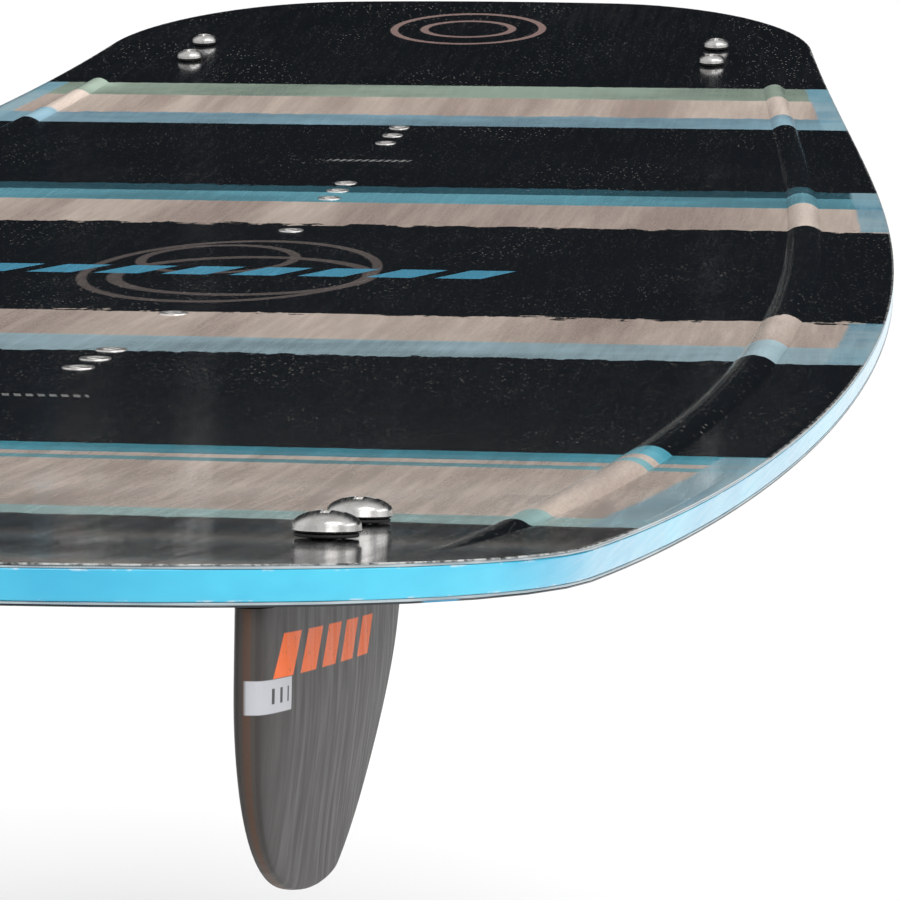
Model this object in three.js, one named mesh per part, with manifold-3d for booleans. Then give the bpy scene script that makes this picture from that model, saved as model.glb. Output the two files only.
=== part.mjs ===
import * as THREE from "three";
import { mergeVertices } from "three/addons/utils/BufferGeometryUtils.js";
import Module from "manifold-3d";

const wasm = await Module();
wasm.setup();

// Twin-tip kiteboard without pads, straps or handle, standing on its four fins.
// Millimetres. +X runs along the board to its front tip, +Y to its left rail and +Z up.

// Outline in plan: two bowed rails, shallow tip arcs and a round corner between them.
const boardLength = 1400;
const boardWidth = 435;
const railTaper = 81; // how far the square term pulls each rail in at the tip
const railEase = 25; // how far the fourth-power term lets it out again
const tipRadius = 1005;
const cornerRadius = 112;

// Side view and section.
const rockerSquare = 35.5; // tip lift of the square term
const rockerQuartic = 13.8; // tip lift of the fourth-power term
const middleThickness = 12;
const rimThickness = 6.4;

// Raised bead that runs along the deck beside each rail.
const beadPlace = 0.86; // share of the half width
const beadFootInner = 6.6;
const beadFootOuter = 5.6;
const beadHeight = 2.2;
const beadFullToTip = 220; // from the tip back to where the bead starts to sink
const beadEndToTip = 60;

// Layers of the moulded sandwich, counted from either skin inwards.
const sheetThickness = 0.3;
const laminateThickness = 0.4;
const bondLine = 0.05;
const railStripWidth = 12;
const jointGap = 0.15; // glue gap around pieces set into the core

// Screws on the centreline: a trio on each side of a foot pad's middle, and two for a handle.
const padSpan = 152.4;
const padPitch = 20.8;
const padTrio = 3;
const padInnerPlace = 195.7;
const handlePlace = 107.5;
const insertNeckRadius = 4.5;
const insertBodyRadius = 7;
const insertLength = 8;
const insertBoreRadius = 2.6;
const insertBoreDepth = 6.5;
const insertProud = 0.3;
const insertShoulder = 1.1; // from the deck down to the wide body

// Fins and what holds them.
const finTipInset = 121; // from the board's tip to the middle of a fin's screws
const finRailInset = 47.8; // from the rail line to the fin's plane
const finScrewPitch = 38;
const finDepth = 50;
const finCrown = 18; // outward offset of the deepest point from the screws' middle
const finInnerReach = 80; // root length inboard of the crown
const finOuterReach = 77; // root length outboard of the crown
const finRootHalf = 5.2; // half thickness where the thread inserts sit
const finTipHalf = 2;
const finEdgeHalf = 0.6;
const finSeatGap = 0.3;
const threadRadius = 3;
const threadClearance = 0.1;
const threadInsertRadius = 3.8;
const threadInsertLength = 9;
const screwHoleRadius = 3.4;
const screwHeadRadius = 6.1;
const screwHeadHeight = 3.9;
const screwEngagement = 8.4;
const washerRadius = 5.6;
const washerThickness = 0.6;
const washerSeat = 0.4; // rest height over the curved deck
const finBlockWidth = 22;
const finBlockMargin = 11; // from a screw's axis to the block's end

const segments = 10;
const holeSegments = 8;
const alongCells = 20;
const alongCrowding = 0.65; // 0 spaces the grid evenly, towards 1 crowds it at the tips

const halfLength = boardLength / 2;
const halfWidth = boardWidth / 2;
const skinDepth = sheetThickness + laminateThickness + 2 * bondLine;
const beadInnerFoot = beadPlace - beadFootInner / halfWidth;
const beadOuterFoot = beadPlace + beadFootOuter / halfWidth;
const acrossHalf = [0.45, beadInnerFoot, beadPlace, beadOuterFoot, 1];
const acrossLines = [...acrossHalf.map((v) => -v).reverse(), 0, ...acrossHalf];

// ---- Heights -------------------------------------------------------------------------------

const railLine = (x) => {
  const s = x / halfLength;
  return halfWidth - railTaper * s ** 2 + railEase * s ** 4;
};

const railSlope = (x) => {
  const s = x / halfLength;
  return (-2 * railTaper * s + 4 * railEase * s ** 3) / halfLength;
};

const deckHeight = (x) => {
  const s = x / halfLength;
  return rockerSquare * s ** 2 + rockerQuartic * s ** 4;
};

const deckSlope = (x) => {
  const s = x / halfLength;
  return (2 * rockerSquare * s + 4 * rockerQuartic * s ** 3) / halfLength;
};

// Full in the middle of the board, and the rim's thickness all along the edge.
const thickness = (x, y) => {
  const fullness = (1 - (x / halfLength) ** 4) * (1 - (y / railLine(x)) ** 2);
  return rimThickness + (middleThickness - rimThickness) * Math.max(fullness, 0);
};

const beadRise = (x, v) => {
  const across = Math.abs(v) - beadPlace;
  const foot = across < 0 ? beadPlace - beadInnerFoot : beadOuterFoot - beadPlace;
  const toTip = halfLength - Math.abs(x);
  const strength = THREE.MathUtils.smoothstep(toTip, beadEndToTip, beadFullToTip);
  return beadHeight * strength * Math.max(1 - Math.abs(across) / foot, 0);
};

// ---- Outline ---------------------------------------------------------------------------------

// The corner arc touches the rail where its centre is also a corner radius inside the tip arc.
const cornerCentreFor = (x) => {
  const norm = Math.hypot(1, railSlope(x));
  return new THREE.Vector2(
    x + (cornerRadius * railSlope(x)) / norm,
    railLine(x) - cornerRadius / norm,
  );
};

const tipCentre = new THREE.Vector2(halfLength - tipRadius, 0);

const findRailEnd = () => {
  let low = halfLength - 2 * cornerRadius;
  let high = halfLength;
  for (let turn = 0; turn < 60; turn += 1) {
    const middle = (low + high) / 2;
    const reach = cornerCentreFor(middle).distanceTo(tipCentre);
    if (reach < tipRadius - cornerRadius) low = middle;
    else high = middle;
  }
  return low;
};

const railEnd = findRailEnd();
const cornerCentre = cornerCentreFor(railEnd);
const cornerStart = Math.atan2(1, -railSlope(railEnd));
const cornerEnd = cornerCentre.clone().sub(tipCentre).angle();
const cornerMiddle = (cornerStart + cornerEnd) / 2;
const halfCornerArc = (cornerRadius * (cornerStart - cornerEnd)) / 2;
const railShare = railEnd / (railEnd + halfCornerArc);
const tipShare = (tipRadius * cornerEnd) / (tipRadius * cornerEnd + halfCornerArc);

const arcPoint = (centre, radius, angle) =>
  new THREE.Vector2(centre.x + radius * Math.cos(angle), centre.y + radius * Math.sin(angle));

// Front left quarter of the outline, moved inwards by an inset: u goes from the board's
// middle along the rail to the middle of the corner, v from the tip's middle to the same point.
const railPoint = (u, inset = 0) => {
  if (u > railShare) {
    const angle = THREE.MathUtils.mapLinear(u, railShare, 1, cornerStart, cornerMiddle);
    return arcPoint(cornerCentre, cornerRadius - inset, angle);
  }
  const x = (railEnd * u) / railShare;
  const norm = Math.hypot(1, railSlope(x));
  return new THREE.Vector2(
    x + (inset * railSlope(x)) / norm,
    railLine(x) - inset / norm,
  );
};

const tipPoint = (v, inset = 0) => {
  if (v > tipShare) {
    const angle = THREE.MathUtils.mapLinear(v, tipShare, 1, cornerEnd, cornerMiddle);
    return arcPoint(cornerCentre, cornerRadius - inset, angle);
  }
  return arcPoint(tipCentre, tipRadius - inset, (cornerEnd * v) / tipShare);
};

const outlineShape = (inset) => {
  const steps = 12;
  const quarter = [];
  for (let i = 0; i < steps; i += 1) quarter.push(tipPoint(i / steps, inset));
  for (let i = 0; i < steps; i += 1) quarter.push(railPoint(1 - i / steps, inset));
  quarter.push(railPoint(0, inset));
  const half = [...quarter, ...quarter.slice(0, -1).reverse().map((p) => new THREE.Vector2(-p.x, p.y))];
  const whole = [...half, ...half.slice(1, -1).reverse().map((p) => new THREE.Vector2(p.x, -p.y))];
  return new THREE.Shape(whole);
};

// Plan grid: u and v run from -1 to 1, and its border is the outline.
const alongLine = (i) => {
  const quarterTurn = (alongCrowding * Math.PI) / 2;
  return Math.sin(((2 * i) / alongCells - 1) * quarterTurn) / Math.sin(quarterTurn);
};

const cornerPoint = railPoint(1);

const planPoint = (u, v) => {
  const rail = railPoint(Math.abs(u));
  const tip = tipPoint(Math.abs(v));
  const blend = u ** 4;
  return new THREE.Vector2(
    Math.sign(u) * (rail.x + blend * (tip.x - cornerPoint.x)),
    v * rail.y + blend * Math.sign(v) * (tip.y - Math.abs(v) * cornerPoint.y),
  );
};

// ---- Solids ----------------------------------------------------------------------------------

const toSolid = (geometry, matrix = new THREE.Matrix4()) => {
  const bare = geometry.clone().applyMatrix4(matrix);
  bare.deleteAttribute("normal");
  bare.deleteAttribute("uv");
  const merged = mergeVertices(bare, 1e-4);
  return new wasm.Manifold(new wasm.Mesh({
    numProp: 3,
    vertProperties: new Float32Array(merged.attributes.position.array),
    triVerts: new Uint32Array(merged.index.array),
  }));
};

const toGeometry = (solid) => {
  const cut = solid.getMesh();
  const geometry = new THREE.BufferGeometry();
  geometry.setAttribute("position", new THREE.BufferAttribute(cut.vertProperties, 3));
  geometry.setIndex(new THREE.BufferAttribute(cut.triVerts, 1));
  return geometry;
};

const indexedGeometry = (points, triangles) => {
  const geometry = new THREE.BufferGeometry().setFromPoints(points);
  geometry.setIndex(triangles.flat());
  return geometry;
};

// A plate on the plan grid between two surfaces given as heights over (x, y, v).
const plateSolid = (upper, lower) => {
  const rows = alongCells + 1;
  const columns = acrossLines.length;
  const points = [];
  for (const surface of [upper, lower]) {
    for (let i = 0; i < rows; i += 1) {
      for (const v of acrossLines) {
        const plan = planPoint(alongLine(i), v);
        points.push(new THREE.Vector3(plan.x, plan.y, surface(plan.x, plan.y, v)));
      }
    }
  }
  const under = rows * columns;
  const triangles = [];
  for (let i = 0; i < alongCells; i += 1) {
    for (let j = 0; j < columns - 1; j += 1) {
      const a = i * columns + j;
      const b = a + columns;
      const flipped = (i < alongCells / 2) !== (j < (columns - 1) / 2); // mirrored quarter by quarter
      const pair = flipped ? [[a, b, a + 1], [b, b + 1, a + 1]] : [[a, b, b + 1], [a, b + 1, a + 1]];
      triangles.push(...pair);
      triangles.push(...pair.map(([p, q, r]) => [under + p, under + r, under + q]));
    }
  }
  const border = [];
  for (let i = 0; i < alongCells; i += 1) border.push(i * columns);
  for (let j = 0; j < columns - 1; j += 1) border.push(alongCells * columns + j);
  for (let i = alongCells; i > 0; i -= 1) border.push(i * columns + columns - 1);
  for (let j = columns - 1; j > 0; j -= 1) border.push(j);
  border.forEach((a, k) => {
    const b = border[(k + 1) % border.length];
    triangles.push([a, under + a, under + b], [a, under + b, b]);
  });
  return toSolid(indexedGeometry(points, triangles));
};

// A plate between two depths, each counted down from the deck or, when negative, up from the base.
const layerSolid = (from, to) => {
  const surfaceAt = (depth) => (x, y, v) =>
    depth < 0 || Object.is(depth, -0)
      ? deckHeight(x) - thickness(x, y) - depth
      : deckHeight(x) + beadRise(x, v) - depth;
  return plateSolid(surfaceAt(from), surfaceAt(to));
};

const prismSolid = (shape, matrix) => {
  const height = 200;
  const prism = new THREE.ExtrudeGeometry(shape, { depth: height, bevelEnabled: false, curveSegments: 4 });
  prism.translate(0, 0, -height / 2);
  return toSolid(prism, matrix);
};

// A cutter whose flats lie at the radius, so that a round piece of that radius clears it.
const rodGeometry = (radius, bottom, top) => {
  const corner = radius / Math.cos(Math.PI / holeSegments);
  const rod = new THREE.CylinderGeometry(corner, corner, top - bottom, holeSegments);
  rod.rotateX(Math.PI / 2);
  return rod.translate(0, 0, (top + bottom) / 2);
};

// A turned piece from [radius, height] pairs, standing on the local Z axis.
const turnedGeometry = (profile) => {
  const turned = new THREE.LatheGeometry(profile.map(([r, h]) => new THREE.Vector2(r, h)), segments);
  turned.rotateX(Math.PI / 2);
  return turned;
};

const tubeGeometry = (outer, inner, bottom, top) =>
  turnedGeometry([[inner, bottom], [outer, bottom], [outer, top], [inner, top], [inner, bottom]]);

const drill = (solid, cutters) => cutters.reduce((left, cutter) => left.subtract(cutter), solid);

// ---- Places ----------------------------------------------------------------------------------

const finPlaceX = halfLength - finTipInset;
const finPlaceY = railLine(finPlaceX) - finRailInset;

// A frame on the deck: Z square to the deck, X along it towards the front or the rear tip.
const deckFrame = (x, y, facing = 1) => {
  const along = new THREE.Vector3(1, 0, deckSlope(x)).normalize().multiplyScalar(facing);
  const up = new THREE.Vector3(-deckSlope(x), 0, 1).normalize();
  const side = up.clone().cross(along);
  return new THREE.Matrix4().makeBasis(along, side, up).setPosition(x, y, deckHeight(x));
};

const ends = [["front", 1], ["rear", -1]];
const sides = [["left", 1], ["right", -1]];

const finStations = ends.flatMap(([end, facing]) => sides.map(([side, hand]) => ({
  name: `${end}_${side}`,
  frame: deckFrame(facing * finPlaceX, hand * finPlaceY, facing),
})));

const screwPlaces = [["outer", finScrewPitch / 2], ["inner", -finScrewPitch / 2]];

const shifted = (frame, along) => frame.clone().multiply(new THREE.Matrix4().makeTranslation(along, 0, 0));

const screwStations = finStations.flatMap(({ name, frame }) => screwPlaces.map(([place, along]) => ({
  name: `${name}_${place}`,
  frame: shifted(frame, along),
})));

const padStations = ends.flatMap(([end, facing]) => [["inner", 0], ["outer", padSpan]].flatMap(
  ([group, start]) => Array.from({ length: padTrio }, (_, k) => ({
    name: `pad_insert_${end}_${group}_${k + 1}`,
    frame: deckFrame(facing * (padInnerPlace + start + k * padPitch), 0),
  })),
));

const handleStations = ends.map(([end, facing]) => ({
  name: `handle_insert_${end}`,
  frame: deckFrame(facing * handlePlace, 0),
}));

const insertStations = [...padStations, ...handleStations];

// Depth of the base under a fin's frame, at an offset along it.
const baseDepth = (frame, along) => {
  const guess = -thickness(finPlaceX, finPlaceY);
  const point = new THREE.Vector3(along, 0, guess).applyMatrix4(frame);
  const miss = deckHeight(point.x) - thickness(point.x, point.y) - point.z;
  return guess + miss * Math.cos(Math.atan(deckSlope(point.x)));
};

// ---- Board -----------------------------------------------------------------------------------

const board = new THREE.Group();

const addPiece = (name, geometry, colour, roughness, metalness, matrix = new THREE.Matrix4()) => {
  const material = new THREE.MeshStandardMaterial({ color: colour, roughness, metalness });
  const mesh = new THREE.Mesh(geometry, material);
  mesh.name = name;
  mesh.applyMatrix4(matrix);
  board.add(mesh);
};

const screwHoles = screwStations.map(({ frame }) => toSolid(rodGeometry(screwHoleRadius, -40, 20), frame));

const neckHoles = insertStations.map(({ frame }) =>
  toSolid(rodGeometry(insertNeckRadius + jointGap, -insertShoulder - 2, 10), frame));

const bodyPockets = insertStations.map(({ frame }) =>
  toSolid(rodGeometry(insertBodyRadius + jointGap, -insertLength - jointGap, 10), frame));

const addSkins = () => {
  const laminateTop = sheetThickness + bondLine;
  const laminateBottom = laminateTop + laminateThickness;
  const deckCutters = [...screwHoles, ...neckHoles];
  addPiece("top_sheet", toGeometry(drill(layerSolid(0, sheetThickness), deckCutters)), 0x15191d, 0.15, 0);
  addPiece(
    "top_laminate",
    toGeometry(drill(layerSolid(laminateTop, laminateBottom), deckCutters)),
    0x7d8a86, 0.4, 0,
  );
  addPiece(
    "bottom_laminate",
    toGeometry(drill(layerSolid(-laminateBottom, -laminateTop), screwHoles)),
    0x7d8a86, 0.4, 0,
  );
  addPiece("base_sheet", toGeometry(drill(layerSolid(-sheetThickness, -0), screwHoles)), 0x1b2126, 0.2, 0);
};

const blockShape = (margin) => {
  const radius = finBlockWidth / 2 + margin;
  const reach = finScrewPitch / 2 + finBlockMargin + margin - radius;
  const shape = new THREE.Shape();
  shape.absarc(reach, 0, radius, -Math.PI / 2, Math.PI / 2);
  shape.absarc(-reach, 0, radius, Math.PI / 2, (3 * Math.PI) / 2);
  shape.closePath();
  return shape;
};

const addMiddle = () => {
  const middle = layerSolid(skinDepth, -skinDepth);
  const insideStrips = prismSolid(outlineShape(railStripWidth));
  const insideGlue = prismSolid(outlineShape(railStripWidth + jointGap));
  const strips = middle.subtract(insideStrips);
  for (const [side, hand] of sides) {
    const other = new THREE.BoxGeometry(boardLength + 20, boardWidth, 200);
    other.translate(0, -hand * (boardWidth / 2 - jointGap / 2), 0);
    addPiece(`rail_${side}`, toGeometry(strips.subtract(toSolid(other))), 0x1fb6e0, 0.35, 0);
  }
  for (const { name, frame } of finStations) {
    const block = middle.intersect(prismSolid(blockShape(0), frame));
    addPiece(`fin_block_${name}`, toGeometry(drill(block, screwHoles)), 0xd9d4c6, 0.6, 0);
  }
  const blockPockets = finStations.map(({ frame }) => prismSolid(blockShape(jointGap), frame));
  const core = drill(middle.intersect(insideGlue), [...blockPockets, ...bodyPockets]);
  addPiece("core", toGeometry(core), 0xc8a878, 0.8, 0);
};

const addInserts = () => {
  const profile = [
    [0, -insertLength],
    [insertBodyRadius, -insertLength],
    [insertBodyRadius, -insertShoulder],
    [insertNeckRadius, -insertShoulder],
    [insertNeckRadius, insertProud],
    [insertBoreRadius, insertProud],
    [insertBoreRadius, insertProud - insertBoreDepth],
    [0, insertProud - insertBoreDepth],
  ];
  for (const { name, frame } of insertStations) {
    addPiece(name, turnedGeometry(profile), 0xc9ccd0, 0.3, 1, frame);
  }
};

// ---- Fins ------------------------------------------------------------------------------------

// Chord ends at a share of the depth: raked and rounded inboard, fuller outboard.
const finInnerEdge = (t) => finCrown - finInnerReach * (1 - t ** 1.45) ** (1 / 1.7);
const finOuterEdge = (t) => finCrown + finOuterReach * (1 - t ** 4) ** 0.5;

const finHalfThickness = (s, t) => {
  const taper = THREE.MathUtils.smoothstep(t, 0.25, 1);
  const middle = THREE.MathUtils.lerp(finRootHalf, finTipHalf, taper);
  return finEdgeHalf + (middle - finEdgeHalf) * (4 * s * (1 - s)) ** 0.35;
};

const finGeometry = (frame) => {
  const levels = 8;
  const chordSteps = 8;
  const flatTip = 0.985; // share of the planform's depth where the tip is cut flat
  const tipDepth = baseDepth(frame, finCrown) - finSeatGap - finDepth;
  const points = [];
  for (let k = 0; k <= levels; k += 1) {
    const t = Math.sin((k / levels) * (Math.PI / 2));
    const inner = finInnerEdge(flatTip * t);
    const outer = finOuterEdge(flatTip * t);
    for (const hand of [1, -1]) {
      for (let i = 0; i <= chordSteps; i += 1) {
        const s = (1 - Math.cos((i / chordSteps) * Math.PI)) / 2;
        const along = THREE.MathUtils.lerp(inner, outer, s);
        const root = baseDepth(frame, along) - finSeatGap;
        const depth = THREE.MathUtils.lerp(root, tipDepth, t);
        points.push(new THREE.Vector3(along, hand * finHalfThickness(s, t), depth));
      }
    }
  }
  const width = chordSteps + 1;
  const ring = 2 * width;
  const triangles = [];
  for (let k = 0; k < levels; k += 1) {
    const a = k * ring;
    const b = a + ring;
    for (let i = 0; i < chordSteps; i += 1) {
      triangles.push([a + i, a + i + 1, b + i + 1], [a + i, b + i + 1, b + i]);
      const c = a + width + i;
      const d = b + width + i;
      triangles.push([c, d + 1, c + 1], [c, d, d + 1]);
    }
    triangles.push([a, b + width, a + width], [a, b, b + width]);
    const e = a + chordSteps;
    const f = b + chordSteps;
    triangles.push([e, e + width, f + width], [e, f + width, f]);
  }
  const last = levels * ring;
  for (let i = 0; i < chordSteps; i += 1) {
    triangles.push([i, i + width + 1, i + 1], [i, i + width, i + width + 1]);
    const g = last + i;
    triangles.push([g, g + 1, g + width + 1], [g, g + width + 1, g + width]);
  }
  return indexedGeometry(points, triangles);
};

const addFins = () => {
  const pocketRadius = threadInsertRadius + jointGap;
  for (const { name, frame } of finStations) {
    const pockets = screwPlaces.map(([, along]) => {
      const bottom = baseDepth(frame, along) - finSeatGap - threadInsertLength - 3 * jointGap;
      return toSolid(rodGeometry(pocketRadius, bottom, 0), new THREE.Matrix4().makeTranslation(along, 0, 0));
    });
    addPiece(`fin_${name}`, toGeometry(drill(toSolid(finGeometry(frame)), pockets)), 0x4a4b4c, 0.45, 0, frame);
    for (const [place, along] of screwPlaces) {
      const top = baseDepth(frame, along) - finSeatGap - jointGap;
      const bore = (threadRadius + threadClearance) / Math.cos(Math.PI / segments); // clear across its flats
      const sleeve = tubeGeometry(threadInsertRadius, bore, top - threadInsertLength, top);
      addPiece(`fin_thread_${name}_${place}`, sleeve, 0xb08d4a, 0.35, 1, shifted(frame, along));
    }
  }
};

// A domed head with a cross recess over a plain shank of the thread's outer size.
const screwGeometry = (shankEnd) => {
  const seat = washerSeat + washerThickness + jointGap;
  const crown = seat + screwHeadHeight;
  const turned = toSolid(turnedGeometry([
    [0, shankEnd],
    [threadRadius, shankEnd],
    [threadRadius, seat],
    [screwHeadRadius - 0.6, seat],
    [screwHeadRadius, seat + 0.6],
    [screwHeadRadius - 0.2, seat + 1.5],
    [screwHeadRadius - 1.6, seat + 2.9],
    [screwHeadRadius - 3.8, crown - 0.2],
    [0, crown],
  ]));
  const recess = [0, Math.PI / 2].map((turn) => {
    const slot = new THREE.BoxGeometry(6.4, 1.3, 4);
    slot.rotateZ(turn);
    return toSolid(slot.translate(0, 0, crown));
  });
  return toGeometry(drill(turned, recess));
};

const addScrews = () => {
  for (const { name, frame } of finStations) {
    for (const [place, along] of screwPlaces) {
      const shankEnd = baseDepth(frame, along) - finSeatGap - screwEngagement;
      const seat = shifted(frame, along);
      addPiece(`fin_screw_${name}_${place}`, screwGeometry(shankEnd), 0xb9bbbd, 0.2, 1, seat);
      const washer = tubeGeometry(
        washerRadius, screwHoleRadius, washerSeat, washerSeat + washerThickness,
      );
      addPiece(`screw_washer_${name}_${place}`, washer, 0x17181a, 0.6, 0, seat);
    }
  }
};

addSkins();
addMiddle();
addInserts();
addFins();
addScrews();

// The lowest fin tip stands on Z = 0.
const lowest = new THREE.Box3().setFromObject(board, true).min.z;
const kiteboard = new THREE.Group();
board.position.z = -lowest;
kiteboard.add(board);
kiteboard.updateMatrixWorld(true);

export default kiteboard;
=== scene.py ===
import math

import bpy
import numpy as np
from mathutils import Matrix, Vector


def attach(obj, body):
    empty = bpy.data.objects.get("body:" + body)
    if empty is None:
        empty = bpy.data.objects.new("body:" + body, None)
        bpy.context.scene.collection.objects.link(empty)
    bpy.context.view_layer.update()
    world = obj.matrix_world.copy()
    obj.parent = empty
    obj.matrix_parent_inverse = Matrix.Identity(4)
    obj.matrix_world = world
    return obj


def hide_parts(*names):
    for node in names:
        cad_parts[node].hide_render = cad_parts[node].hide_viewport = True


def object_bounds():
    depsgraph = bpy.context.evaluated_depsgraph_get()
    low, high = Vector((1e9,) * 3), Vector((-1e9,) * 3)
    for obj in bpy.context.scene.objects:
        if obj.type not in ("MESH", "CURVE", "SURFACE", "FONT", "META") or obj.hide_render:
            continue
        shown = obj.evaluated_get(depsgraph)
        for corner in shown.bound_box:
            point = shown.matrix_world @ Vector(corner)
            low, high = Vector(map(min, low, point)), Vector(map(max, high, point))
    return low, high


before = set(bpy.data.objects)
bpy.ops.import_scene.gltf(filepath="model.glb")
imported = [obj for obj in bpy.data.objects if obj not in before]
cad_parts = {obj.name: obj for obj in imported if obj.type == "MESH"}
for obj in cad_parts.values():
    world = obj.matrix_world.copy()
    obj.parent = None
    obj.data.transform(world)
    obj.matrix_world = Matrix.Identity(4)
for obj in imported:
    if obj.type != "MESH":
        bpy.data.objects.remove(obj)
cadLow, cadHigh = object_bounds()
print("frame loaded,", len(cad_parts), "nodes")

# The board's shape. Every size is in metres: X along the board, Y to its left rail, Z up.

board = {
    "halfLength": 0.7,
    "halfWidth": 0.2175,
    "railTaper": 0.081,
    "railEase": 0.025,
    "tipRadius": 1.005,
    "cornerRadius": 0.112,
    "rockerSquare": 0.0355,
    "rockerQuartic": 0.0138,
    "middleThickness": 0.012,
    "rimThickness": 0.0064,
}
bead = {
    "place": 0.86,  # share of the half width
    "innerFoot": 0.0066,
    "outerFoot": 0.0056,
    "height": 0.0022,
    "endToTip": 0.06,
    "fullToTip": 0.22,
    "endWidth": 0.35,  # share of its width left where it ends
    "bow": 2.2,
}
layers = {"sheet": 0.0003, "bond": 0.00005, "laminate": 0.0004}
skinDepth = layers["sheet"] + layers["laminate"] + 2 * layers["bond"]
deckCentre = cadHigh.z - board["rockerSquare"] - board["rockerQuartic"]  # the tips are the highest points
innerFoot = bead["place"] - bead["innerFoot"] / board["halfWidth"]
outerFoot = bead["place"] + bead["outerFoot"] / board["halfWidth"]
ends = (("front", 1), ("rear", -1))
sides = (("left", 1), ("right", -1))


def smoothStep(value, low, high):  # 0 below low, 1 above high, level at both ends
    share = np.clip((value - low) / (high - low), 0, 1)
    return share * share * (3 - 2 * share)


def railLine(x):  # the half width, less a square taper, plus a quartic ease near the tips
    s = x / board["halfLength"]
    return board["halfWidth"] - board["railTaper"] * s**2 + board["railEase"] * s**4


def railSlope(x):
    s = x / board["halfLength"]
    return (-2 * board["railTaper"] * s + 4 * board["railEase"] * s**3) / board["halfLength"]


def deckHeight(x):  # the rocker: a square and a quartic rise towards each tip
    s = x / board["halfLength"]
    return deckCentre + board["rockerSquare"] * s**2 + board["rockerQuartic"] * s**4


def deckSlope(x):
    s = x / board["halfLength"]
    return (2 * board["rockerSquare"] * s + 4 * board["rockerQuartic"] * s**3) / board["halfLength"]


def thickness(x, y):  # rim thickness at the edge, swelling to full in the middle
    full = (1 - (x / board["halfLength"]) ** 4) * (1 - (y / railLine(x)) ** 2)
    return board["rimThickness"] + (board["middleThickness"] - board["rimThickness"]) * np.maximum(full, 0)


def beadShare(x, v):
    # A bowed arch across the bead, 1 on its crest. It narrows and fades out before each tip.
    across = np.abs(v) - bead["place"]
    foot = np.where(across < 0, bead["place"] - innerFoot, outerFoot - bead["place"])
    fade = smoothStep(board["halfLength"] - np.abs(x), bead["endToTip"], bead["fullToTip"])
    foot = foot * (bead["endWidth"] + (1 - bead["endWidth"]) * fade)
    return (1 - np.clip(np.abs(across) / foot, 0, 1) ** bead["bow"]) * fade


def beadRise(x, v):
    return bead["height"] * beadShare(x, v)


def cornerCentreFor(x):  # one corner radius inside the rail line, square to it
    norm = math.hypot(1, railSlope(x))
    reach = board["cornerRadius"] / norm
    return np.array((x + reach * railSlope(x), railLine(x) - reach))


tipCentre = np.array((board["halfLength"] - board["tipRadius"], 0.0))


def findRailEnd():  # halving: the corner arc has to touch the tip arc as well
    low, high = board["halfLength"] - 2 * board["cornerRadius"], board["halfLength"]
    for _ in range(60):
        middle = (low + high) / 2
        reach = np.linalg.norm(cornerCentreFor(middle) - tipCentre)
        low, high = (middle, high) if reach < board["tipRadius"] - board["cornerRadius"] else (low, middle)
    return low


railEnd = findRailEnd()
cornerCentre = cornerCentreFor(railEnd)
cornerStart = math.atan2(1, -railSlope(railEnd))
cornerEnd = math.atan2(*(cornerCentre - tipCentre)[::-1])
cornerMiddle = (cornerStart + cornerEnd) / 2
halfCornerArc = board["cornerRadius"] * (cornerStart - cornerEnd) / 2
railShare = railEnd / (railEnd + halfCornerArc)
tipShare = board["tipRadius"] * cornerEnd / (board["tipRadius"] * cornerEnd + halfCornerArc)


def arcPoint(centre, radius, angle):
    return np.stack((centre[0] + radius * np.cos(angle), centre[1] + radius * np.sin(angle)), -1)


def railPoint(u, inset=0.0):  # from the board's middle along the rail line, then half round the corner
    x = railEnd * np.minimum(u / railShare, 1)
    norm = np.hypot(1, railSlope(x))
    straight = np.stack((x + inset * railSlope(x) / norm, railLine(x) - inset / norm), -1)
    turn = cornerStart + (cornerMiddle - cornerStart) * (u - railShare) / (1 - railShare)
    rounded = arcPoint(cornerCentre, board["cornerRadius"] - inset, turn)
    return np.where((u > railShare)[..., None], rounded, straight)


def tipPoint(v, inset=0.0):  # from the tip's middle along its arc, then half round the corner
    straight = arcPoint(tipCentre, board["tipRadius"] - inset, cornerEnd * np.minimum(v / tipShare, 1))
    turn = cornerEnd + (cornerMiddle - cornerEnd) * (v - tipShare) / (1 - tipShare)
    rounded = arcPoint(cornerCentre, board["cornerRadius"] - inset, turn)
    return np.where((v > tipShare)[..., None], rounded, straight)


cornerPoint = railPoint(np.array(1.0))


def planPoint(u, v):
    # u runs along the board and v across, both from -1 to 1, and their border is the outline.
    rail, tip, blend = railPoint(np.abs(u)), tipPoint(np.abs(v)), u**4
    x = np.sign(u) * (rail[..., 0] + blend * (tip[..., 0] - cornerPoint[0]))
    y = v * rail[..., 1] + blend * np.sign(v) * (tip[..., 1] - np.abs(v) * cornerPoint[1])
    return x, y


# Mesh making.


def gridQuads(index):  # each four neighbouring entries of an index grid make one face
    return np.stack((index[:-1, :-1], index[1:, :-1], index[1:, 1:], index[:-1, 1:]), -1).reshape(-1, 4)


def newPiece(name, points, faces, sharpAngle=32):
    mesh = bpy.data.meshes.new(name)
    mesh.from_pydata(np.asarray(points, float).reshape(-1, 3).tolist(), [], faces)
    piece = bpy.data.objects.new(name, mesh)
    bpy.context.scene.collection.objects.link(piece)
    smooth(piece, sharpAngle)
    return piece


def smooth(piece, sharpAngle):
    piece.data.shade_smooth()
    piece.data.set_sharp_from_angle(angle=math.radians(sharpAngle))


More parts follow.
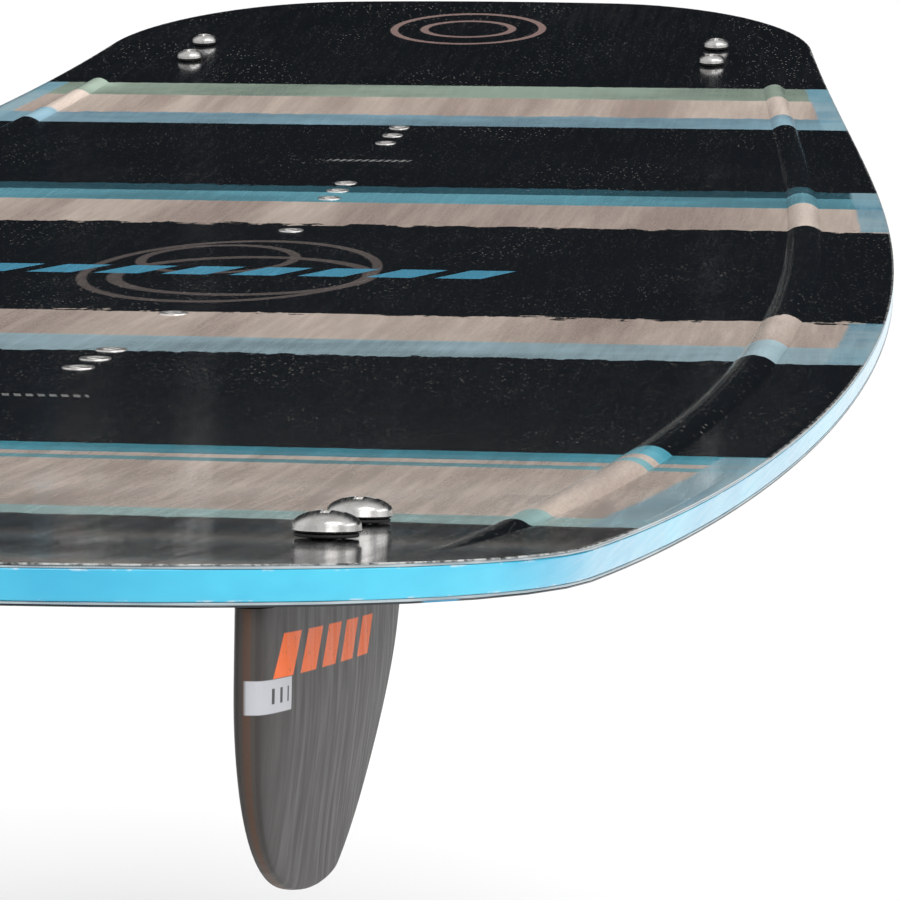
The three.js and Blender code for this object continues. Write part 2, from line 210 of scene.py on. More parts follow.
def cutAway(piece, cutter, sharpAngle=32):  # a boolean difference, applied
    cut = piece.modifiers.new("cut", "BOOLEAN")
    cut.operation, cut.solver, cut.object = "DIFFERENCE", "EXACT", cutter
    graph = bpy.context.evaluated_depsgraph_get()
    cutMesh = bpy.data.meshes.new_from_object(piece.evaluated_get(graph))
    piece.modifiers.clear()
    before, piece.data = piece.data, cutMesh
    cutMesh.name = before.name + "_cut"
    bpy.data.meshes.remove(before)
    bpy.data.objects.remove(cutter)
    smooth(piece, sharpAngle)


def joined(parts):  # several (points, faces) as one
    points, faces, start = [], [], 0
    for some, own in parts:
        points.append(some)
        faces += [[start + i for i in face] for face in own]
        start += len(some)
    return np.concatenate(points), faces


def turned(profile, segments=48, wave=None, closed=False):
    # A profile of (radius, height) rows carried round the local Z axis. wave(angle, height) times a row's
    # third entry is added to its radius. An open profile starts and ends on the axis, in two poles.
    profile = np.asarray(profile, float)
    rows = profile if closed else profile[1:-1]
    angle = np.arange(segments) * 2 * math.pi / segments
    radius = rows[:, :1] + np.zeros(segments)
    if wave is not None:
        radius = radius + rows[:, 2:3] * wave(angle[None, :], rows[:, 1:2])
    points = np.stack(
        (radius * np.cos(angle), radius * np.sin(angle), rows[:, 1:2] + 0 * radius), -1).reshape(-1, 3)
    index = np.arange(len(points)).reshape(len(rows), segments)
    index = np.concatenate((index, index[:, :1]), 1)
    if closed:
        return points, gridQuads(np.concatenate((index, index[:1])))[:, ::-1].tolist()
    faces = gridQuads(index)[:, ::-1].tolist()
    low, high = len(points), len(points) + 1
    faces += [[low, b, a] for a, b in zip(index[0, :-1].tolist(), index[0, 1:].tolist())]
    faces += [[high, a, b] for a, b in zip(index[-1, :-1].tolist(), index[-1, 1:].tolist())]
    poles = np.array(((0, 0, profile[0, 1]), (0, 0, profile[-1, 1])))
    return np.concatenate((points, poles)), faces


def deckFrame(x, y, facing=1):  # Z square to the deck, X along it towards the end it faces
    along = np.array((1, 0, deckSlope(x))) / math.hypot(1, deckSlope(x)) * facing
    up = np.array((-deckSlope(x), 0, 1)) / math.hypot(1, deckSlope(x))
    return np.array((along, np.cross(up, along), up)), np.array((x, y, deckHeight(x)))


def placed(points, place, along=0.0):
    axes, origin = place
    return (points + np.array((along, 0, 0))) @ axes + origin


def intoFrame(points, place):
    axes, origin = place
    return (points - origin) @ axes.T


def finishPiece(piece, body, node, material):
    piece.data.materials.clear()
    piece.data.materials.append(material)
    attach(piece, body)
    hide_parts(node)


def spoken(node):  # fin_screw_rear_left_inner becomes finScrewRearLeftInner
    first, *others = node.split("_")
    return first + "".join(word.capitalize() for word in others)


# Node helpers for the materials.


def addNode(tree, kind, inputs=None, **settings):
    node = tree.nodes.new(kind)
    for key, value in settings.items():
        setattr(node, key, value)
    for key, value in (inputs or {}).items():
        if isinstance(value, bpy.types.NodeSocket):
            tree.links.new(value, node.inputs[key])
        else:
            node.inputs[key].default_value = value
    return node


def treeOf(*values):  # the node tree that the first socket among the values belongs to
    return next(value.id_data for value in values if isinstance(value, bpy.types.NodeSocket))


def calc(operation, *values, clamp=False):
    inputs = {i: value for i, value in enumerate(values)}
    return addNode(treeOf(*values), "ShaderNodeMath", inputs, operation=operation, use_clamp=clamp).outputs[0]


def plus(first, second, clamp=False):
    return calc("ADD", first, second, clamp=clamp)


def minus(first, second):
    return calc("SUBTRACT", first, second)


def times(first, second, clamp=False):
    return calc("MULTIPLY", first, second, clamp=clamp)


def split(place):
    return addNode(treeOf(place), "ShaderNodeSeparateXYZ", {0: place}).outputs


def attribute(tree, name):
    return addNode(tree, "ShaderNodeAttribute", attribute_name=name).outputs["Fac"]


def stretched(place, scale, move=(0, 0, 0), turn=0.0):
    inputs = {"Vector": place, "Scale": scale, "Location": move, "Rotation": (0, 0, turn)}
    return addNode(treeOf(place), "ShaderNodeMapping", inputs).outputs[0]


def noise(place, scale=(1, 1, 1), detail=3.0, rough=0.5, move=(0, 0, 0), turn=0.0):
    inputs = {"Vector": stretched(place, scale, move, turn), "Scale": 1.0}
    inputs.update({"Detail": detail, "Roughness": rough})
    return addNode(treeOf(place), "ShaderNodeTexNoise", inputs).outputs[0]


def threads(place, scale, turn):
    inputs = {"Vector": stretched(place, scale, (0, 0, 0), turn), "Scale": 1.0}
    return addNode(treeOf(place), "ShaderNodeTexWave", inputs).outputs[1]


def step(value, low, high, toLow=0.0, toHigh=1.0):  # a smooth step from toLow to toHigh
    inputs = {"Value": value, "From Min": low, "From Max": high, "To Min": toLow, "To Max": toHigh}
    return addNode(treeOf(value), "ShaderNodeMapRange", inputs, interpolation_type="SMOOTHSTEP").outputs[0]


def mixed(share, first, second):
    inputs = {"Factor": share, 6: first, 7: second}
    return addNode(treeOf(share, first, second), "ShaderNodeMix", inputs, data_type="RGBA").outputs[2]


def flag(value, low, high, soft):  # 1 between low and high, with soft edges
    risen = step(value, low - soft, low + soft)
    return times(risen, step(value, high - soft, high + soft, 1, 0))


def colour(red, green, blue):  # a colour as it looks on a screen, 0 to 255, turned into light
    shares = (red / 255, green / 255, blue / 255)
    return tuple(c / 12.92 if c < 0.0405 else ((c + 0.055) / 1.055) ** 2.4 for c in shares) + (1.0,)


def newMaterial(name, **shader):
    material = bpy.data.materials.new(name)
    material.use_nodes = True
    nodes = material.node_tree.nodes
    surface = nodes["Principled BSDF"]
    for key, value in shader.items():
        surface.inputs[key.replace("_", " ")].default_value = value
    place = nodes.new("ShaderNodeTexCoord").outputs["Object"]
    return material, surface, place


def setLook(surface, shade, rough=None):
    links = surface.id_data.links
    links.new(shade, surface.inputs["Base Color"])
    if rough is not None:
        links.new(rough, surface.inputs["Roughness"])


def bumpy(surface, height, distance, strength=1.0):
    tree = surface.id_data
    inputs = {"Height": height, "Distance": distance, "Strength": strength}
    tree.links.new(addNode(tree, "ShaderNodeBump", inputs).outputs[0], surface.inputs["Normal"])


# Deck sheet: the printed film.

deckPrint = {
    "black": colour(9, 12, 15),
    "wornBlack": colour(20, 23, 26),
    "woodPale": colour(234, 216, 202),
    "woodDark": colour(190, 171, 160),
    "edge": 0.0007,  # softness of a print edge
    "ragged": 0.011,  # how far a brushed edge wanders
    "stripes": ((0.396, 0.501), (0.125, 0.229), (-0.197, -0.103), (-0.555, -0.401)),
    # from and to along the board, colour, then whether each edge is ragged; None is wood
    "bands": (
        (0.422, 0.472, None, 0, 0),
        (0.470, 0.501, colour(176, 196, 178), 0, 0),
        (0.396, 0.424, colour(158, 198, 216), 0, 0.4),
        (0.125, 0.187, None, 1, 0),
        (0.185, 0.213, colour(124, 194, 212), 0, 0),
        (0.212, 0.229, colour(56, 104, 118), 0, 0.5),
        (-0.164, -0.103, None, 0, 1),
        (-0.197, -0.161, colour(192, 222, 232), 0.8, 0),
        (-0.540, -0.409, None, 0, 0),
        (-0.418, -0.400, colour(98, 194, 216), 0, 0),
        (-0.433, -0.4255, colour(138, 204, 214), 0, 0),
        (-0.556, -0.5365, colour(192, 230, 226), 0.25, 0),
    ),
    "chipped": colour(190, 192, 190),
    "frame": 0.0105,  # width of the blue wash along the rail
    "frameColour": colour(168, 208, 222),
}
deckMarks = {
    "dashColour": colour(92, 176, 210),
    "dashes": (0.0105, 0.0916, 0.0229, 0.66, 0.45),  # half height, half row, pitch, share filled, slant
    "ringColour": colour(116, 106, 102),
    "rings": (  # centre along and across, half lengths along and across, width as a share
        (0.0, 0.002, 0.078, 0.048, 0.035),
        (-0.012, -0.004, 0.048, 0.042, 0.06),
        (0.03, 0.012, 0.036, 0.026, 0.07),
    ),
    "tipColour": colour(168, 140, 134),
    "tipRings": ((0.638, 0.0, 0.034, 0.037, 0.05), (0.638, 0.0, 0.018, 0.022, 0.09)),
    "tickColour": colour(170, 170, 168),
}


def woodTone(place, pale, dark):  # long fibres along the board over broad darker streaks
    broad = noise(place, (2.2, 26, 10), 4, 0.55)
    fibre = noise(place, (26, 520, 60), 4, 0.6)
    pores = noise(place, (420, 1400, 400), 2, 0.5, (3, 1, 0))
    share = plus(step(broad, 0.38, 0.68), times(minus(fibre, 0.5), 0.5))
    share = plus(share, times(minus(pores, 0.5), 0.8), clamp=True)
    return mixed(share, pale, dark)


def ringFlag(x, y, ring):  # a thin oval: its own distance from the centre is 1 all along it
    centreX, centreY, halfX, halfY, width = ring
    across = calc("DIVIDE", minus(x, centreX), halfX)
    along = calc("DIVIDE", minus(y, centreY), halfY)
    far = calc("SQRT", plus(times(across, across), times(along, along)))
    return flag(far, 1 - width, 1 + width, width * 0.25)


def dashFlag(x, y, halfHeight, halfRow, pitch, filled, slant):  # slanted bars in a row across
    leaning = plus(y, times(x, slant))
    place = calc("FRACT", calc("DIVIDE", plus(leaning, 10 * pitch), pitch))
    bars = flag(place, (1 - filled) / 2, (1 + filled) / 2, 0.02)
    inHeight = flag(x, -halfHeight, halfHeight, 0.0005)
    row = times(inHeight, flag(leaning, -halfRow, halfRow, 0.0003))
    return times(bars, row)


def railDistance(x, y):  # the rail line's own formula, less the distance from the middle line
    s = calc("DIVIDE", x, board["halfLength"])
    square = times(s, s)
    taper = times(square, board["railTaper"])
    ease = times(times(square, square), board["railEase"])
    line = plus(minus(board["halfWidth"], taper), ease)
    return minus(line, calc("ABSOLUTE", y))


def makeDeckFilm():
    material, surface, place = newMaterial("deckFilm", Coat_Weight=0.45, Coat_Roughness=0.05)
    tree = material.node_tree
    axes = split(place)
    x, y = axes[0], axes[1]
    brush = minus(noise(place, (70, 95, 1), 4, 0.62), 0.5)
    comb = minus(noise(place, (210, 22, 1), 3, 0.6, (5, 2, 0)), 0.5)
    wander = times(plus(brush, times(comb, 0.8)), 2 * deckPrint["ragged"])
    fine = times(minus(noise(place, (30, 160, 1), 2), 0.5), 0.0022)
    clean = plus(x, fine)
    shade = noise(place, (16, 9, 1), 4, 0.6, (1, 7, 0))
    worn = step(noise(place, (9, 14, 1), 5, 0.65), 0.35, 0.75, 0, 0.5)
    film = mixed(worn, deckPrint["black"], deckPrint["wornBlack"])
    wood = woodTone(place, deckPrint["woodPale"], deckPrint["woodDark"])
    edge = deckPrint["edge"]
    for low, high, paint, lowRagged, highRagged in deckPrint["bands"]:
        lowPlace = plus(clean, times(wander, lowRagged)) if lowRagged else clean
        highPlace = plus(clean, times(wander, highRagged)) if highRagged else clean
        past = step(lowPlace, low - edge, low + edge)
        inside = times(past, step(highPlace, high - edge, high + edge, 1, 0))
        if paint is None:
            film = mixed(inside, film, wood)
            continue
        deeper = tuple(c * 0.62 for c in paint[:3]) + (1,)
        tint = mixed(step(shade, 0.36, 0.66), paint, deeper)
        film = mixed(times(inside, 0.94), film, tint)
    fromRail = plus(railDistance(x, y), fine)
    nearRail = step(fromRail, deckPrint["frame"] - 0.001, deckPrint["frame"] + 0.001, 1, 0)
    striped = None
    for low, high in deckPrint["stripes"]:
        here = flag(clean, low, high, edge)
        striped = here if striped is None else calc("MAXIMUM", striped, here)
    wash = mixed(step(shade, 0.4, 0.62), deckPrint["frameColour"], colour(120, 178, 202))
    film = mixed(times(times(nearRail, striped), 0.85), film, wash)
    for ring in deckMarks["rings"]:
        film = mixed(times(ringFlag(x, y, ring), 0.85), film, deckMarks["ringColour"])
    film = mixed(dashFlag(x, y, *deckMarks["dashes"]), film, deckMarks["dashColour"])
    bothTips = calc("ABSOLUTE", x)
    for ring in deckMarks["tipRings"]:
        marked = times(ringFlag(bothTips, y, ring), 0.8)
        film = mixed(marked, film, deckMarks["tipColour"])
    ticks = dashFlag(minus(bothTips, 0.3), y, 0.0026, 0.01705, 0.0031, 0.6, 0.3)
    film = mixed(times(ticks, 0.8), film, deckMarks["tickColour"])
    dust = addNode(tree, "ShaderNodeTexVoronoi", {"Vector": place, "Scale": 420.0}, voronoi_dimensions="2D")
    pick = addNode(tree, "ShaderNodeSeparateColor", {0: dust.outputs["Color"]})
    grains = step(dust.outputs["Distance"], 0.08, 0.18, 0.9, 0)
    speck = times(grains, step(pick.outputs[0], 0.7, 0.9))
    cloud = step(noise(place, (11, 15, 1), 3, 0.6, (4, 4, 0)), 0.42, 0.72)
    # Painted sheen mask: 1 towards the tip at x < -0.5, 0 elsewhere.
    sheenNearTip = step(x, -0.5, -0.62)
    film = mixed(times(speck, plus(cloud, 0.2), clamp=True), film, colour(196, 190, 182))
    # Grey scratch lines: faint everywhere as real wear, and much stronger towards the x < -0.5 tip as painted
    # sheen standing in for the grey grazing reflection there.
    scratchAndSheenLines = step(noise(place, (30, 900, 1), 3, 0.7, (7, 0, 0), 0.9), 0.6, 0.72)
    scratchesAndSheen = plus(times(sheenNearTip, 0.2), 0.05)
    film = mixed(times(scratchAndSheenLines, scratchesAndSheen), film, colour(150, 150, 150))
    # Painted highlight: the film is made lighter across the raised bead, as if its ridge caught more light.
    lift = {"Value": 1.35, "Saturation": 0.92, "Color": film}
    paintedBeadHighlight = addNode(tree, "ShaderNodeHueSaturation", lift).outputs[0]
    onBead = attribute(tree, "onBead")
    film = mixed(onBead, film, paintedBeadHighlight)
    toEdge = attribute(tree, "toEdge")
    chip = step(noise(place, (420, 420, 420), 4, 0.7), 0.36, 0.62)
    chip = times(chip, step(toEdge, 0.0003, 0.0008, 0.85, 0))
    film = mixed(chip, film, deckPrint["chipped"])
    scuff = noise(place, (18, 300, 1), 4, 0.65, (2, 0, 0), 0.5)
    rough = step(plus(scuff, times(shade, 0.4)), 0.5, 0.95, 0.1, 0.25)
    setLook(surface, film, rough)
    peel = times(noise(place, (60, 90, 60), 3), 2.0)
    grain = plus(noise(place, (900, 900, 900), 3), peel)
    bumpy(surface, grain, 0.00004, 0.5)
    return material


def evenLines(*spans):  # (start, end, count) spans end to end, mirrored about zero
    pieces = [np.linspace(start, end, count, endpoint=False) for start, end, count in spans]
    half = np.concatenate(pieces + [[1.0]])
    return np.concatenate((-half[:0:-1], half))


fineLines = (
    evenLines((0, 0.985, 84), (0.985, 0.9996, 4), (0.9996, 1, 1)),
    evenLines((0, innerFoot, 16), (innerFoot, outerFoot, 18), (outerFoot, 0.9988, 7), (0.9988, 1, 1)),
)
plainLines = (
    evenLines((0, 0.9996, 44), (0.9996, 1, 1)),
    evenLines((0, innerFoot, 8), (innerFoot, outerFoot, 8), (outerFoot, 0.9988, 4), (0.9988, 1, 1)),
)
rimDip = 0.00012


def plateBetween(upper, lower, lines):
    # Two height surfaces over the same plan grid, with a wall round the border, whose top row dips a little.
    u, v = np.meshgrid(*lines, indexing="ij")
    x, y = planPoint(u, v)
    rim = ((np.abs(u) == 1) | (np.abs(v) == 1)) * rimDip
    top = np.stack((x, y, upper(x, y, v) - rim), -1).reshape(-1, 3)
    under = np.stack((x, y, lower(x, y, v)), -1).reshape(-1, 3)
    index = np.arange(len(top)).reshape(u.shape)
    border = np.concatenate((index[:-1, 0], index[-1, :-1], index[:0:-1, -1], index[0, :0:-1]))
    following = np.roll(border, -1)
    wall = np.stack((border + len(top), following + len(top), following, border), -1)
    faces = np.concatenate((gridQuads(index), gridQuads(index)[:, ::-1] + len(top), wall))
    return np.concatenate((top, under)), faces.tolist()


def fromDeck(depth):
    return lambda x, y, v: deckHeight(x) + beadRise(x, v) - depth


def fromBase(height):
    return lambda x, y, v: deckHeight(x) - thickness(x, y) + height


inserts = {
    "padSpan": 0.1524, "padPitch": 0.0208, "padInnerPlace": 0.1957, "handlePlace": 0.1075,
    "neck": 0.0045, "body": 0.007, "length": 0.008, "bore": 0.0026, "boreDepth": 0.0065,
    "proud": 0.0003, "shoulder": 0.0011, "gap": 0.00015, "threadPitch": 0.001, "threadDepth": 0.00032,
}
fins = {
    "tipInset": 0.121, "railInset": 0.0478, "screwPitch": 0.038, "depth": 0.05, "crown": 0.018,
    "innerReach": 0.08, "outerReach": 0.077, "rootHalf": 0.0052, "tipHalf": 0.002, "edgeHalf": 0.0006,
    "seatGap": 0.0003, "roundEdge": 0.0009, "screwHole": 0.0034,
}
finPlaceX = board["halfLength"] - fins["tipInset"]
finPlaceY = railLine(finPlaceX) - fins["railInset"]
finStations = {
    f"{end}_{side}": (deckFrame(facing * finPlaceX, hand * finPlaceY, facing), facing * hand)
    for end, facing in ends for side, hand in sides}
screwPlaces = (("outer", fins["screwPitch"] / 2), ("inner", -fins["screwPitch"] / 2))
padGroups = (("inner", inserts["padInnerPlace"]), ("outer", inserts["padInnerPlace"] + inserts["padSpan"]))
insertStations = {
    f"pad_insert_{end}_{group}_{k + 1}": deckFrame(facing * (start + k * inserts["padPitch"]), 0)
    for end, facing in ends for group, start in padGroups for k in range(3)}
insertStations |= {
    f"handle_insert_{end}": deckFrame(facing * inserts["handlePlace"], 0) for end, facing in ends}


def holeCutter(name, necks):  # one mesh of plain rods, square to the deck, for every hole in a skin
    rod = lambda radius: turned(((0, -0.04), (radius, -0.04), (radius, 0.02), (0, 0.02)), 40)
    parts = []
    if necks:
        points, faces = rod(inserts["neck"] + inserts["gap"])
        parts += [(placed(points, place), faces) for place in insertStations.values()]
    points, faces = rod(fins["screwHole"])
    for place, _ in finStations.values():
        parts += [(placed(points, place, along), faces) for _, along in screwPlaces]
    return newPiece(name, *joined(parts))


def makeSkins():
    sheet, glassNear = layers["sheet"], layers["sheet"] + layers["bond"]
    glassFar = glassNear + layers["laminate"]
    skins = (
        ("top_sheet", fromDeck(0), fromDeck(sheet), fineLines, True, "top_sheet", deckFilm),
        ("top_laminate", fromDeck(glassNear), fromDeck(glassFar), plainLines, True, "laminate", glassSkin),
        ("bottom_laminate", fromBase(glassFar), fromBase(glassNear), plainLines, False, "laminate",
         glassSkin),
        ("base_sheet", fromBase(sheet), fromBase(0), plainLines, False, "base_sheet", baseFilm),
    )
    for node, upper, lower, lines, necks, slotName, material in skins:
        piece = newPiece(spoken(node), *plateBetween(upper, lower, lines))
        cutAway(piece, holeCutter("holes", necks))
        markSheet(piece)
        finishPiece(piece, "board", node, material)
        print(node, "done,", len(piece.data.polygons), "faces")


def markSheet(piece):
    # After the cut, each point's distance in from the outline, and its share of the bead. The outline is the
    # nearest of rail line, tip arc and, past the corner's centre, the corner arc.
    mesh = piece.data
    co = np.zeros(len(mesh.vertices) * 3, np.float32)
    mesh.vertices.foreach_get("co", co)
    x, y, z = co.reshape(-1, 3).T.astype(float)
    plan = np.stack((np.abs(x), np.abs(y)), -1)
    fromRail = railLine(x) - plan[:, 1]
    fromTip = board["tipRadius"] - np.hypot(*(plan - tipCentre).T)
    fromCorner = board["cornerRadius"] - np.hypot(*(plan - cornerCentre).T)
    cornered = (plan > cornerCentre).all(-1)
    toEdge = np.minimum(np.minimum(fromRail, fromTip), np.where(cornered, fromCorner, 1))
    onBead = beadShare(x, y / railLine(x)) * (z > deckHeight(x) - 0.0001)
    mesh.attributes.new("toEdge", "FLOAT", "POINT").data.foreach_set("value", toEdge.astype(np.float32))
    mesh.attributes.new("onBead", "FLOAT", "POINT").data.foreach_set("value", onBead.astype(np.float32))


def makeGlassSkin():
    material, surface, place = newMaterial("glassSkin", Roughness=0.35)
    weave = threads(place, (700, 700, 700), 0.78)
    cloud = noise(place, (60, 60, 60), 4, 0.6)
    shade = mixed(step(cloud, 0.3, 0.7), colour(134, 150, 158), colour(172, 184, 188))
    shade = mixed(times(weave, 0.25), shade, colour(190, 198, 198))
    setLook(surface, shade)
    bumpy(surface, weave, 0.00003, 0.5)
    return material


def makeBaseFilm():
    material, surface, place = newMaterial("baseFilm", Coat_Weight=0.2, Coat_Roughness=0.08)
    drift = noise(place, (5, 22, 1), 5, 0.6)
    shade = mixed(step(drift, 0.35, 0.7), colour(24, 29, 34), colour(44, 52, 58))
    rubs = step(noise(place, (14, 420, 1), 5, 0.7, (0, 0, 0), 0.15), 0.62, 0.78)
    shade = mixed(times(rubs, 0.35), shade, colour(96, 104, 108))
    axes = split(place)
    nearRail = railDistance(axes[0], axes[1])
    line = times(flag(nearRail, 0.012, 0.016, 0.0004), 0.8)
    shade = mixed(line, shade, colour(40, 140, 180))
    setLook(surface, shade, step(rubs, 0, 1, 0.16, 0.34))
    bumpy(surface, noise(place, (500, 500, 500), 3), 0.00003, 0.5)
    return material


deckFilm, glassSkin, baseFilm = makeDeckFilm(), makeGlassSkin(), makeBaseFilm()
makeSkins()

# Rails: a strip along each side, butted at the tips.

rails = {"width": 0.012, "corner": 0.0003, "pathSteps": 90, "tipSteps": 70}


def makeRailPlastic():
    material, surface, place = newMaterial("railPlastic", Coat_Weight=1.0, Coat_Roughness=0.12)
    tree = material.node_tree
    edgeShare = attribute(tree, "upTheEdge")
    cloud = noise(place, (14, 22, 30), 4, 0.6)
    shade = mixed(step(cloud, 0.36, 0.68), colour(2, 162, 200), colour(52, 190, 220))
    chips = step(noise(place, (160, 160, 320), 3, 0.6), 0.56, 0.66)
    atEdges = step(calc("ABSOLUTE", minus(edgeShare, 0.5)), 0.40, 0.49)
    shade = mixed(times(times(chips, atEdges), 0.8), shade, colour(196, 214, 222))
    marks = noise(place, (40, 40, 900), 3, 0.6)
    setLook(surface, shade, step(marks, 0.3, 0.7, 0.3, 0.46))
    bumpy(surface, marks, 0.00005, 0.5)
    return material


def stripSection():
    # Rows of inset, share of the way up from the underside, and rise: out from the inner foot, up and back.
    corner = rails["corner"]
    turn = np.linspace(0, math.pi / 2, 5)
    out, lift = corner * (1 - np.sin(turn)), corner * (1 - np.cos(turn))
    lower = np.stack((out, 0 * turn, lift), -1)
    upper = np.stack((out[::-1], 0 * turn + 1, -lift[::-1]), -1)
    wall = np.array(((0, 0.25, 0), (0, 0.5, 0), (0, 0.75, 0)))
    inner = rails["width"]
    floor, roof = np.array(((inner, 0, 0), (inner / 2, 0, 0))), np.array(((inner / 2, 1, 0), (inner, 1, 0)))
    return np.concatenate((floor, lower, wall, upper, roof))


def makeRails():
    # The section is carried along half the outline: out along the front tip, back along the rail, in along
    # the rear tip. The second quarter is the first one mirrored.
    section = stripSection()
    inset, share, rise = (section[:, k] for k in range(3))
    start = inserts["gap"] / 2 / board["tipRadius"] * tipShare / cornerEnd
    v = np.linspace(start, 1, rails["tipSteps"], endpoint=False)
    u = np.linspace(1, 0, rails["pathSteps"])
    tip, rail = tipPoint(v[:, None] + 0 * inset, inset), railPoint(u[:, None] + 0 * inset, inset)
    quarter = np.concatenate((tip, rail))
    half = np.concatenate((quarter, quarter[-2::-1] * (-1, 1)))
    x, y = half[..., 0], half[..., 1]
    low = deckHeight(x) - thickness(x, y) + skinDepth
    high = deckHeight(x) - skinDepth
    z = low + (high - low) * share + rise
    index = np.arange(x.size).reshape(x.shape)
    faces = gridQuads(np.concatenate((index, index[:, :1]), 1)).tolist()
    faces += [index[0].tolist(), index[-1, ::-1].tolist()]
    upTheEdge = np.clip((z - low) / (high - low), 0, 1).ravel()
    for side, hand in sides:
        points = np.stack((x, hand * y, z), -1)
        strip = newPiece(spoken(f"rail_{side}"), points, [face[::hand] for face in faces])
        strip.data.attributes.new("upTheEdge", "FLOAT", "POINT").data.foreach_set("value", upTheEdge)
        finishPiece(strip, "board", f"rail_{side}", railPlastic)
    print("rails done")


railPlastic = makeRailPlastic()
makeRails()

# Metal screw inserts, fin screws and brass threads in the fins, and rubber washers.

screws = {
    "thread": 0.003, "threadRoot": 0.00255, "pitch": 0.001, "head": 0.0061, "headHeight": 0.0039,
    "engagement": 0.0084, "recessWidth": 0.0018, "recessReach": 0.0034, "recessDepth": 0.0021,
}
washers = {"outer": 0.0056, "inner": 0.0034, "thickness": 0.0006, "seat": 0.0004}
sleeves = {"outer": 0.0038, "bore": 0.00306, "groove": 0.00022, "length": 0.009}


def helix(pitch):  # a triangle wave that climbs one pitch for each turn: 1 on the crest, 0 in the root
    return lambda angle, height: np.abs(2 * np.mod(height / pitch - angle / (2 * math.pi), 1) - 1)


def metal(name, tone, darker, roughLow, roughHigh, **shader):
    material, surface, place = newMaterial(name, Metallic=1.0, **shader)
    cloud = noise(place, (260, 260, 260), 4, 0.6)
    scratches = noise(place, (300, 1100, 500), 4, 0.6, (0, 0, 0), 0.6)
    shade = mixed(step(cloud, 0.35, 0.75), tone, darker)
    setLook(surface, shade, step(scratches, 0.35, 0.7, roughLow, roughHigh))
    bumpy(surface, scratches, 0.000004, 0.4)
    return material


def makeInserts():
    own = inserts
    top, floor = own["proud"], own["proud"] - own["boreDepth"]
    bevel, count = 0.00025, 54
    height = np.linspace(top - bevel, floor + bevel, count)
    strength = np.minimum(smoothStep(height, floor, floor + 0.0008), smoothStep(top - height, 0.0, 0.0009))
    wall = np.stack((own["bore"] + 0 * height, height, -own["threadDepth"] * strength), -1)
    bottom, shoulder = -own["length"], -own["shoulder"]
    body, neck, bore = own["body"], own["neck"], own["bore"]
    profile = np.concatenate((
        ((0, bottom, 0), (body - bevel, bottom, 0), (body, bottom + bevel, 0), (body, shoulder - bevel, 0),
         (body - bevel, shoulder, 0), (neck, shoulder, 0), (neck, top - bevel, 0),
         (neck - bevel * 0.4, top - bevel * 0.3, 0), (neck - bevel, top, 0), (bore + bevel, top, 0),
         (bore + bevel * 0.3, top - bevel * 0.4, 0)),
        wall,
        ((bore - 0.0004, floor, 0), (0, floor - 0.0003, 0)),
    ))
    profile[:, 2] *= -1  # the grooves reach outwards into the wall
    wave = helix(own["threadPitch"])
    for node, place in insertStations.items():
        points, faces = turned(profile, 48, wave)
        piece = newPiece(spoken(node), placed(points, place), faces)
        finishPiece(piece, "board", node, insertSteel)
    print("inserts done,", len(insertStations))


def baseDepth(place, along):  # how far the base lies under a fin's frame, at an offset along it
    guess = -thickness(finPlaceX, finPlaceY)
    along = np.asarray(along, float)
    point = placed(np.stack((along, 0 * along, 0 * along + guess), -1), place)
    miss = deckHeight(point[..., 0]) - thickness(point[..., 0], point[..., 1]) - point[..., 2]
    return guess + miss * np.cos(np.arctan(deckSlope(point[..., 0])))


def crossCutter(crown, place, along):  # a four-armed recess that narrows as it goes down
    reach, half = screws["recessReach"], screws["recessWidth"] / 2
    arm = np.array(((reach, -half), (reach, half), (half, half)))
    quarterTurn = np.array(((0, 1), (-1, 0)))
    outline = np.concatenate([arm @ np.linalg.matrix_power(quarterTurn, k) for k in range(4)])
    depths = np.array((0.002, 0, -0.4, -0.8, -1.0)) * (1, 1, *([screws["recessDepth"]] * 3))
    sizes = np.array((1.12, 1.0, 0.82, 0.6, 0.34))
    levels = np.broadcast_to(depths[:, None, None], (5, 12, 1)) + crown
    rings = np.concatenate((outline[None] * sizes[:, None, None], levels), -1)
    index = np.arange(60).reshape(5, 12)
    faces = gridQuads(np.concatenate((index, index[:, :1]), 1)).tolist()
    faces += [index[0].tolist(), index[-1, ::-1].tolist()]
    return newPiece("recess", placed(rings.reshape(-1, 3), place, along), faces)


def makeScrews():
    own, seat = screws, washers["seat"] + washers["thickness"] + inserts["gap"]
    crown = seat + own["headHeight"]
    turn = np.linspace(0, math.pi / 2, 22)[1:-1]
    skirt, shoulder = seat + 0.0013, own["head"] - 0.00012
    domeHeight = skirt + (crown - skirt) * np.sin(turn) ** 1.05
    dome = np.stack((shoulder * np.cos(turn) ** 1.12, domeHeight, 0 * turn), -1)
    wave = helix(own["pitch"])
    for name, (place, _) in finStations.items():
        for spot, along in screwPlaces:
            end = float(baseDepth(place, along)) - fins["seatGap"] - own["engagement"]
            height = np.arange(end + 0.0006, seat - 0.0002, own["pitch"] / 8)
            runOut = smoothStep(seat - height, 0.0004, 0.0016)
            strength = np.minimum(smoothStep(height, end + 0.0005, end + 0.0015), runOut)
            relief = (own["thread"] - own["threadRoot"]) * strength
            shank = np.stack((own["threadRoot"] + 0 * height, height, relief), -1)
            profile = np.concatenate((
                ((0, end, 0), (own["threadRoot"] - 0.0005, end, 0)), shank,
                ((own["threadRoot"], seat, 0), (own["head"] - 0.0009, seat, 0),
                 (own["head"] - 0.0003, seat + 0.00012, 0), (own["head"], seat + 0.0004, 0),
                 (shoulder, skirt, 0)),
                dome, ((0, crown, 0),),
            ))
            points, faces = turned(profile, 48, wave)
            node = f"fin_screw_{name}_{spot}"
            piece = newPiece(spoken(node), placed(points, place, along), faces)
            cutAway(piece, crossCutter(crown, place, along))
            finishPiece(piece, node, node, screwSteel)
    print("screws done")


